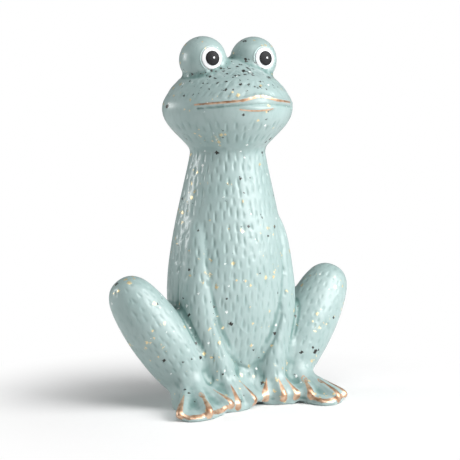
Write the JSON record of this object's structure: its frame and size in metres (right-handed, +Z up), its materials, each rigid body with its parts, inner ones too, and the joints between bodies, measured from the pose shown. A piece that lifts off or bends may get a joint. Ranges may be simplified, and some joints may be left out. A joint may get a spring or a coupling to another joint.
{
  "type": "frog figurine",
  "caption": "Upright sitting frog figurine of glazed ceramic with round raised eyes, folded hind legs, forelegs in relief and webbed feet; stands free as an ornament.",
  "frame": {"origin": "middle of the footprint, on the plane that the figure stands on", "axes": "+Z up, -Y the way the frog looks, +X to the frog's own left"},
  "size_m": [0.1912, 0.103, 0.2604],
  "materials": {
    "glaze": "glossy pale mint glaze with dark, gold and white flakes",
    "gilded_glaze": "the same glaze with brushed gold lustre on lips, toes and web edges",
    "white_enamel": "glossy white enamel",
    "dark_enamel": "satin charcoal enamel"
  },
  "bodies": {
    "root": {"torso": "glaze", "head": "gilded_glaze", "left_eyeball": "glaze", "right_eyeball": "glaze", "left_eye_white": "white_enamel", "right_eye_white": "white_enamel", "left_pupil": "dark_enamel", "right_pupil": "dark_enamel", "left_eye_glint": "white_enamel", "right_eye_glint": "white_enamel", "left_foreleg": "glaze", "right_foreleg": "glaze", "left_forefoot": "gilded_glaze", "right_forefoot": "gilded_glaze", "left_thigh": "glaze", "right_thigh": "glaze", "left_shin": "glaze", "right_shin": "glaze", "left_hind_foot": "gilded_glaze", "right_hind_foot": "gilded_glaze"}
  },
  "joints": []
}
